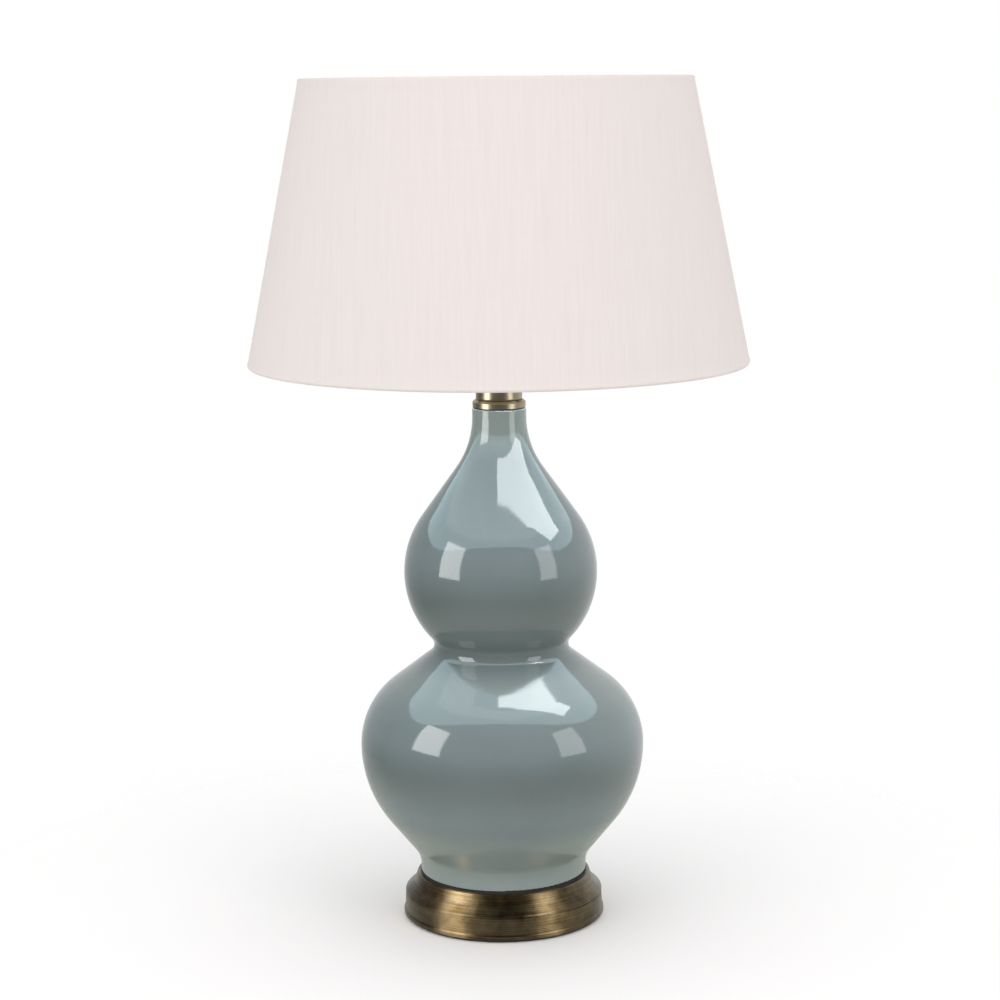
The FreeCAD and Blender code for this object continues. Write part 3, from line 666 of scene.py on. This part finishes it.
def barrel_thread(material):
    """Thread on the barrel: one ridge, wound up from the flange to the mouth."""
    start = BARREL_LOW_Z + FLANGE_UP + FLANGE_T + THREAD_FLAT
    turns = int((BARREL_TOP_Z - MOUTH_CHAMFER - start) / THREAD_PITCH)
    flank = (THREAD_PITCH - 2 * THREAD_FLAT) / 2
    root_r = THREAD_R - THREAD_DEEP
    piece = new_piece("barrel_thread", material)
    pen = Section(root_r - THREAD_FLAT, start)
    pen.to(root_r, start)
    pen.to(THREAD_R, start + flank)
    pen.to(THREAD_R, start + flank + THREAD_FLAT)
    pen.to(root_r, start + 2 * flank + THREAD_FLAT)
    pen.to(root_r - THREAD_FLAT, start + 2 * flank + THREAD_FLAT)
    pen.to(root_r - THREAD_FLAT, start)
    close_up()
    bpy.ops.object.mode_set(mode="OBJECT")
    modify(piece, "SCREW", axis="Z", angle=FULL_TURN, screw_offset=THREAD_PITCH, iterations=turns,
           steps=96, render_steps=96, use_merge_vertices=True)
    bpy.ops.object.mode_set(mode="EDIT")
    close_up()
    bpy.ops.mesh.fill_holes(sides=0)
    close_up()
    return leave(piece)


def bulb_screw(material):
    """Rolled thread of the bulb's cap, cut off level at both ends."""
    mean_r = SCREW_R - SCREW_DEEP / 2
    rise = SCREW_DEEP / 2
    chord = SCREW_PITCH / 2
    arc_r = ((chord / 2) ** 2 + rise ** 2) / (2 * rise)
    sweep = 2 * math.degrees(math.asin(chord / 2 / arc_r))
    start = BULB_CAP_LOW_Z - SCREW_PITCH
    piece = new_piece("bulb_screw_cap", material)
    pen = Section(mean_r, start)
    pen.bend(mean_r + rise - arc_r, start + chord / 2, sweep, 8)
    pen.bend(mean_r - rise + arc_r, start + chord * 1.5, -sweep, 8)
    bpy.ops.object.mode_set(mode="OBJECT")
    modify(piece, "SCREW", axis="Z", angle=FULL_TURN, screw_offset=SCREW_PITCH,
           iterations=math.ceil(SCREW_H / SCREW_PITCH) + 2, steps=80, render_steps=80,
           use_merge_vertices=True)
    bpy.ops.object.mode_set(mode="EDIT")
    for cut_z, up in ((BULB_CAP_LOW_Z + CAP_SHEET, -1), (BULB_CAP_LOW_Z + SCREW_H - CAP_SHEET, 1)):
        bpy.ops.mesh.select_all(action="SELECT")
        bpy.ops.mesh.bisect(plane_co=(0, 0, cut_z), plane_no=(0, 0, up), clear_outer=True)
    close_up()
    return leave(piece, 60)


def bulb_skirt(material):
    """Plain ends of the bulb's cap: the lip over the insulator and the flared skirt round the glass."""
    screw_top = BULB_CAP_LOW_Z + SCREW_H
    root_r = SCREW_R - SCREW_DEEP
    flare_z = screw_top + SKIRT_H / 2
    lip = new_piece("bulb_lip", material)
    pen = Section(root_r - SCREW_DEEP, BULB_CAP_LOW_Z + CAP_SHEET)
    pen.to(root_r, BULB_CAP_LOW_Z + CAP_SHEET)
    pen.bend(root_r, BULB_CAP_LOW_Z + 2 * CAP_SHEET, 90)
    pen.to(root_r + CAP_SHEET, BULB_CAP_LOW_Z + SCREW_DEEP * 2)
    turn_round(80)
    leave(lip, 60)
    skirt = new_piece("bulb_skirt", material)
    pen = Section(root_r + CAP_SHEET, screw_top - SCREW_DEEP * 2)
    pen.to(root_r + CAP_SHEET, screw_top)
    pen.to(BULB_CAP_R, flare_z)
    pen.to(BULB_CAP_R, BULB_CAP_TOP_Z - CAP_SHEET, 3)
    pen.bend(BULB_CAP_R - CAP_SHEET, BULB_CAP_TOP_Z - CAP_SHEET, 90)
    turn_round(80)
    leave(skirt, 60)
    return lip, skirt


def cloth_cover(material):
    """Cloth of the shade: rolled round both rings, snipped for the arms, lapped at the back."""
    lean_r, lean_z = math.sin(SHADE_LEAN), math.cos(SHADE_LEAN)

    def spot(along, out):
        """Point so far up the slope from the bottom ring's middle, so far outside the rings' line."""
        return (LOW_RING_R - along * lean_r + out * lean_z, LOW_RING_Z + along * lean_z + out * lean_r)

    piece = new_piece("shade_cloth", material)
    pen = Section(*spot(TURN_IN, -ROLL_R))
    pen.to(*spot(0, -ROLL_R), 3)
    pen.bend(LOW_RING_R, LOW_RING_Z, 180, 12)
    pen.to(*spot(ROLL_RUNOUT, ROLL_R - ROLL_CREASE))
    pen.to(*spot(SHADE_SLOPE - ROLL_RUNOUT, ROLL_R - ROLL_CREASE), 24)
    pen.to(*spot(SHADE_SLOPE, ROLL_R))
    pen.bend(TOP_RING_R, TOP_RING_Z, 180, 12)
    pen.to(*spot(SHADE_SLOPE - TURN_IN, -ROLL_R), 3)
    turn_round(ROUND_SHADE)

    def on_arm(centre, normal):
        bearing = math.degrees(math.atan2(centre.y, centre.x)) % 360
        behind = math.hypot(centre.x, centre.y) < LOW_RING_R - ROLL_R / 2
        low_hem = LOW_RING_Z - RING_WIRE_R < centre.z < LOW_RING_Z + TURN_IN
        half_step = 180 / ROUND_SHADE
        return low_hem and behind and any(abs(bearing - arm) < half_step for arm in ARM_BEARINGS)

    def on_lap(centre, normal):
        return normal.y > 0.5 and centre.y > 0 and abs(centre.x) < SEAM_W / 2

    pick_faces(piece, on_arm)
    bpy.ops.mesh.delete(type="FACE")
    pick_faces(piece, on_lap)
    bpy.ops.mesh.extrude_region_shrink_fatten(TRANSFORM_OT_shrink_fatten={"value": SEAM_PROUD})
    bpy.ops.object.mode_set(mode="OBJECT")
    modify(piece, "SOLIDIFY", thickness=CLOTH_T, offset=-1, use_even_offset=True)
    leave(piece, 40)
    lay_weave(piece)
    return piece


def lay_weave(piece):
    """UV map in metres on the flat cut, whose middle is at the front and whose ends lap at the back."""
    weave = piece.data.uv_layers.new(name="weave")
    around = math.sin(SHADE_LEAN)
    for face in piece.data.polygons:
        facing = math.atan2(face.center.x, -face.center.y)
        for corner in face.loop_indices:
            spot = piece.data.vertices[piece.data.loops[corner].vertex_index].co
            bearing = math.atan2(spot.x, -spot.y)
            bearing += FULL_TURN * round((facing - bearing) / FULL_TURN)
            reach = (APEX_Z - spot.z) / math.cos(SHADE_LEAN)
            fan = bearing * around
            weave.data[corner].uv = (reach * math.sin(fan), -reach * math.cos(fan))


# ---------------------------------------------------------------- operators
class LampOperator(bpy.types.Operator):
    """Base of the lamp's operators."""

    bl_options = {"REGISTER", "UNDO"}

    def settings(self, context):
        return context.scene.double_gourd_lamp


class LAMP_OT_foot(LampOperator):
    """Finish the brass foot, its felt and what it holds"""

    bl_idname = "lamp.foot"
    bl_label = "Foot"

    def execute(self, context):
        brass = antique_brass(self.settings(context).brass)
        dress("brass_foot", brass)
        felt = felt_disc(black_felt())
        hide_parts("felt_pad")
        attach(felt, "lamp_base")
        steel = plated_steel()
        for node in ("base_cover_plate", "rod_washer", "rod_nut", "threaded_rod", "holder_lock_nut"):
            dress(node, steel)
        dress("ballast_disc", grey_iron())
        rubber = black_rubber()
        for node in ("cord_grommet", "foot_gasket", "neck_seal"):
            dress(node, rubber)
        return {"FINISHED"}


class LAMP_OT_gourd(LampOperator):
    """Glaze the gourd"""

    bl_idname = "lamp.gourd"
    bl_label = "Gourd"

    def execute(self, context):
        dress("gourd_body", celadon_glaze(self.settings(context).glaze))
        return {"FINISHED"}


class LAMP_OT_lampholder(LampOperator):
    """Finish the neck cap, the lampholder and its switch"""

    bl_idname = "lamp.lampholder"
    bl_label = "Lampholder"

    def execute(self, context):
        brass = bpy.data.materials["antique_brass"]
        barrel = join(barrel_wall(brass), barrel_thread(brass))
        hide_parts("holder_barrel")
        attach(barrel, "lamp_base")
        for node in ("neck_cap", "holder_cup"):
            dress(node, brass)
        dress("shade_screw_ring", brass)
        dress("holder_porcelain", white_porcelain())
        bare = bright_brass()
        for node in ("screw_sleeve", "centre_contact", "switch_blade", "terminal_screws"):
            dress(node, bare)
        moulded = black_plastic()
        for node in ("switch_bar", "switch_knobs"):
            dress(node, moulded)
        return {"FINISHED"}


class LAMP_OT_shade(LampOperator):
    """Cover the shade and finish its frame"""

    bl_idname = "lamp.shade"
    bl_label = "Shade"

    def execute(self, context):
        cloth = cloth_cover(shade_cloth(self.settings(context).cloth))
        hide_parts("shade_fabric")
        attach(cloth, "shade")
        dress("shade_liner", white_liner())
        wire = white_wire()
        for node in ("shade_carrier", "shade_bottom_ring", "shade_top_ring"):
            dress(node, wire)
        return {"FINISHED"}


class LAMP_OT_bulb(LampOperator):
    """Finish the bulb"""

    bl_idname = "lamp.bulb"
    bl_label = "Bulb"

    def execute(self, context):
        dress("bulb_glass", opal_glass())
        metal = aluminium()
        cap = join(bulb_screw(metal), *bulb_skirt(metal))
        modify(cap, "SOLIDIFY", thickness=CAP_SHEET, offset=-1)
        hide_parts("bulb_cap")
        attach(cap, "bulb")
        dress("bulb_insulator", black_glass())
        dress("bulb_tip", solder())
        return {"FINISHED"}


def softbox(name, place, aim, width, height, power, colour=(1, 1, 1), sheen=True, light=True):
    """Studio light. Without sheen it doesn't show in gloss, without light it shows only there."""
    lamp = bpy.data.lights.new(name, "AREA")
    lamp.shape = "RECTANGLE"
    lamp.size = width
    lamp.size_y = height
    lamp.energy = power
    lamp.color = colour
    box = bpy.data.objects.new(name, lamp)
    bpy.context.scene.collection.objects.link(box)
    box.location = place
    box.rotation_euler = (Vector(aim) - Vector(place)).to_track_quat("-Z", "Y").to_euler()
    box.visible_camera = False
    box.visible_glossy = sheen
    box.visible_diffuse = light
    box.visible_transmission = light
    return box


def shine_only_on(box, *pieces):
    """Keeps a light to some pieces, as a flag on a stand would."""
    lit = bpy.data.collections.new(box.name + "_pieces")
    for piece in pieces:
        lit.objects.link(piece)
    box.light_linking.receiver_collection = lit


def hung_light(name, spot, size, power, colour, **seen):
    """Light hung level just under the shade, kept to the gourd."""
    box = softbox(name, (*spot, HUNG_Z), (*spot, FLOOR_Z), *size, power, colour, **seen)
    shine_only_on(box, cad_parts["gourd_body"])
    return box


def studio_floor():
    """Round pale floor that thins out into the backdrop; it throws back less light than it shows."""
    bpy.ops.mesh.primitive_circle_add(vertices=128, radius=FLOOR_R, fill_type="NGON",
                                      location=(0, 0, FLOOR_Z))
    floor = bpy.context.object
    floor.name = "studio_floor"
    f = Finish("studio_floor", FLOOR_SEEN, 0.8)
    seen = f.node("LightPath").outputs["Is Camera Ray"]
    f.colour(f.blend(seen, FLOOR_THROWN, FLOOR_SEEN))
    spot = f.node("TexCoord").outputs["Object"]
    out = f.node("VectorMath", {0: spot}, operation="LENGTH").outputs["Value"]
    fade = f.node("MapRange", {"Value": out, "From Min": FLOOR_FADE[0], "From Max": FLOOR_FADE[1]},
                  interpolation_type="SMOOTHSTEP")
    clear = f.node("BsdfTransparent")
    mix = f.node("MixShader", {0: fade, 1: f.shader, 2: clear})
    f.tree.links.new(mix.outputs[0], f.output.inputs["Surface"])
    floor.data.materials.append(f.material)


def backdrop():
    """World: white to look at, even soft light, and a dim room in the gloss, lighter behind."""
    world = bpy.data.worlds.new("backdrop")
    bpy.context.scene.world = world
    world.use_nodes = True
    tree = world.node_tree
    tree.nodes.clear()
    out = tree.nodes.new("ShaderNodeOutputWorld")
    path = tree.nodes.new("ShaderNodeLightPath")
    way = tree.nodes.new("ShaderNodeTexCoord")
    lighter = tree.nodes.new("ShaderNodeVectorMath")
    lighter.operation = "DOT_PRODUCT"
    lighter.inputs[1].default_value = LIGHTER_SIDE
    room = tree.nodes.new("ShaderNodeMapRange")
    room.inputs["From Min"].default_value = ROOM_RAMP[0]
    room.inputs["From Max"].default_value = ROOM_RAMP[1]
    room.inputs["To Min"].default_value = ROOM_FRONT
    room.inputs["To Max"].default_value = ROOM_BACK
    tree.links.new(way.outputs["Generated"], lighter.inputs[0])
    tree.links.new(lighter.outputs["Value"], room.inputs["Value"])
    layers = []
    for strength in (EVEN_LIGHT, room.outputs[0], 1.0):
        layer = tree.nodes.new("ShaderNodeBackground")
        layer.inputs["Color"].default_value = (1, 1, 1, 1)
        if isinstance(strength, float):
            layer.inputs["Strength"].default_value = strength
        else:
            tree.links.new(strength, layer.inputs["Strength"])
        layers.append(layer)
    gloss = tree.nodes.new("ShaderNodeMixShader")
    tree.links.new(path.outputs["Is Glossy Ray"], gloss.inputs[0])
    tree.links.new(layers[0].outputs[0], gloss.inputs[1])
    tree.links.new(layers[1].outputs[0], gloss.inputs[2])
    seen = tree.nodes.new("ShaderNodeMixShader")
    tree.links.new(path.outputs["Is Camera Ray"], seen.inputs[0])
    tree.links.new(gloss.outputs[0], seen.inputs[1])
    tree.links.new(layers[2].outputs[0], seen.inputs[2])
    tree.links.new(seen.outputs[0], out.inputs["Surface"])


class LAMP_OT_stage(LampOperator):
    """Set the floor, the lights and the camera"""

    bl_idname = "lamp.stage"
    bl_label = "Stage"

    def execute(self, context):
        stage = self.settings(context).stage
        studio_floor()
        backdrop()
        for side, place, width, power in SOFTBOXES:
            softbox(side + "_softbox", place, SOFTBOX_AIM, width, SOFTBOX_H, power, light=False)
            twin_power = FOOT_SHINE * power ** FOOT_EVENING
            twin = softbox(side + "_foot_softbox", place, SOFTBOX_AIM, width, SOFTBOX_H, twin_power,
                           light=False)
            shine_only_on(twin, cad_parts["brass_foot"])
        for name, place, side, power, colour in FRONT_LIGHTS:
            softbox(name, place, LAMP_MIDDLE, side, side, power, colour, sheen=False)
        hung_light("top_card", TOP_CARD_SPOT, TOP_CARD_SIZE, 0.62, (0.86, 0.96, 1), light=False)
        glow = hung_light("ceiling_glow", CEILING_SPOT, CEILING_SIZE, 1.9, (0.64, 0.90, 1), light=False)
        sky = hung_light("ceiling_light", CEILING_SPOT, CEILING_SIZE, 1.5, (0.74, 0.93, 1), sheen=False)
        glow.data.shape = sky.data.shape = "ELLIPSE"
        camera = bpy.data.cameras.new("camera")
        camera.lens = stage.lens
        camera.sensor_width = SENSOR_W
        holder = bpy.data.objects.new("camera", camera)
        context.scene.collection.objects.link(holder)
        pitch = Matrix.Rotation(math.radians(90) - stage.pitch, 4, "X")
        roll = Matrix.Rotation(-stage.roll, 4, "Z")
        holder.matrix_world = Matrix.Translation((0, -stage.far, stage.up)) @ (pitch @ roll)
        context.scene.camera = holder
        context.scene.view_settings.view_transform = "Standard"
        return {"FINISHED"}


OPERATORS = (LAMP_OT_foot, LAMP_OT_gourd, LAMP_OT_lampholder, LAMP_OT_shade, LAMP_OT_bulb, LAMP_OT_stage)


class LAMP_PT_panel(bpy.types.Panel):
    """Sizes, colours and steps of the lamp"""

    bl_idname = "LAMP_PT_panel"
    bl_label = "Double Gourd Lamp"
    bl_space_type = "VIEW_3D"
    bl_region_type = "UI"
    bl_category = "Lamp"

    def draw(self, context):
        settings = context.scene.double_gourd_lamp
        for group in (settings.glaze, settings.brass, settings.cloth, settings.stage):
            box = self.layout.box()
            for name in group.__annotations__:
                box.prop(group, name)
        for operator in OPERATORS:
            self.layout.operator(operator.bl_idname)


CLASSES = (LampGlaze, LampBrass, LampCloth, LampStage, LampSettings, *OPERATORS, LAMP_PT_panel)


def register():
    for cls in CLASSES:
        bpy.utils.register_class(cls)
    bpy.types.Scene.double_gourd_lamp = PointerProperty(type=LampSettings)


def unregister():
    del bpy.types.Scene.double_gourd_lamp
    for cls in reversed(CLASSES):
        bpy.utils.unregister_class(cls)


def main():
    register()
    bpy.ops.object.select_all(action="DESELECT")
    bpy.ops.lamp.foot()
    bpy.ops.lamp.gourd()
    bpy.ops.lamp.lampholder()
    bpy.ops.lamp.shade()
    bpy.ops.lamp.bulb()
    bpy.ops.lamp.stage()


if __name__ == "__main__":
    main()
